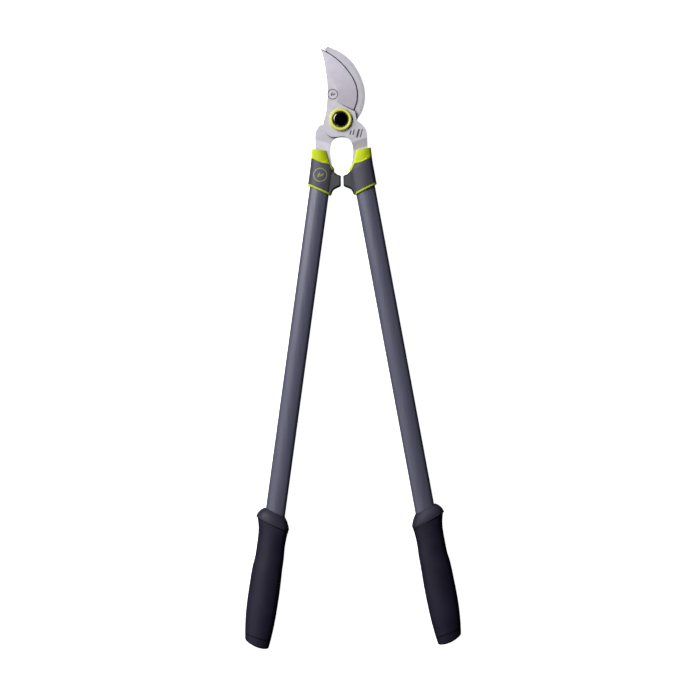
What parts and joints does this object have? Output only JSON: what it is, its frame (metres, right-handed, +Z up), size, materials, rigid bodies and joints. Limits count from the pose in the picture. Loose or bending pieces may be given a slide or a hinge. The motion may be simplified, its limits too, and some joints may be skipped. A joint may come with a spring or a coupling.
{
  "type": "bypass loppers",
  "caption": "Long-handled bypass loppers with a curved cutting blade passing a hook, oval tube handles, bumpers and soft grips.",
  "frame": {"origin": "where the pivot axis meets the surface that the loppers rest on, at the flat end of the pivot bolt", "axes": "+Y from the handles towards the blade tips, on the line that halves the angle between the handles at rest; +Z up, along the pivot axis, away from the resting surface; +X to the right, towards the handle that carries the cutting blade"},
  "size_m": [0.2744, 0.7627, 0.031],
  "materials": {
    "blade_steel": "satin ground steel with a fine bevel along the edge",
    "zinc_steel": "zinc-plated steel",
    "bronze": "sintered bronze",
    "lock_nylon": "natural nylon",
    "lime_plastic": "lime moulded plastic, semi-gloss",
    "ring_plastic": "yellow-green moulded ring, semi-gloss",
    "gloss_black": "polished black plastic",
    "cover_plastic": "dark grey moulded plastic",
    "bumper_rubber": "dark grey rubber",
    "tube_coating": "aluminium tube with a charcoal satin coating",
    "plug_plastic": "glass-filled nylon",
    "collar_plastic": "black moulded polypropylene",
    "grip_rubber": "soft black elastomer"
  },
  "bodies": {
    "hook_arm": {"hook_blade": "blade_steel", "pivot_bolt": "zinc_steel", "pivot_nut": "zinc_steel", "nut_lock_insert": "lock_nylon", "front_washer": "zinc_steel", "rear_washer": "zinc_steel", "spring_washer": "zinc_steel", "pivot_ring": "ring_plastic", "pivot_cap": "gloss_black", "left_ferrule": "lime_plastic", "left_ferrule_cover": "cover_plastic", "left_bumper": "bumper_rubber", "left_tube": "tube_coating", "left_tang_plug": "plug_plastic", "left_tang_rivets": "zinc_steel", "left_grip_core": "collar_plastic", "left_grip_sleeve": "grip_rubber", "left_grip_end_cap": "grip_rubber"},
    "blade_arm": {"cutting_blade": "blade_steel", "blade_bush": "bronze", "right_ferrule": "lime_plastic", "right_ferrule_cover": "cover_plastic", "right_bumper": "bumper_rubber", "right_tube": "tube_coating", "right_tang_plug": "plug_plastic", "right_tang_rivets": "zinc_steel", "right_grip_core": "collar_plastic", "right_grip_sleeve": "grip_rubber", "right_grip_end_cap": "grip_rubber"}
  },
  "joints": [
    {"name": "pivot", "type": "hinge", "parent": "hook_arm", "child": "blade_arm", "pos_m": [0, 0, 0.0155], "axis": [0, 0, 1], "range_deg": [-2.2, 60]}
  ]
}
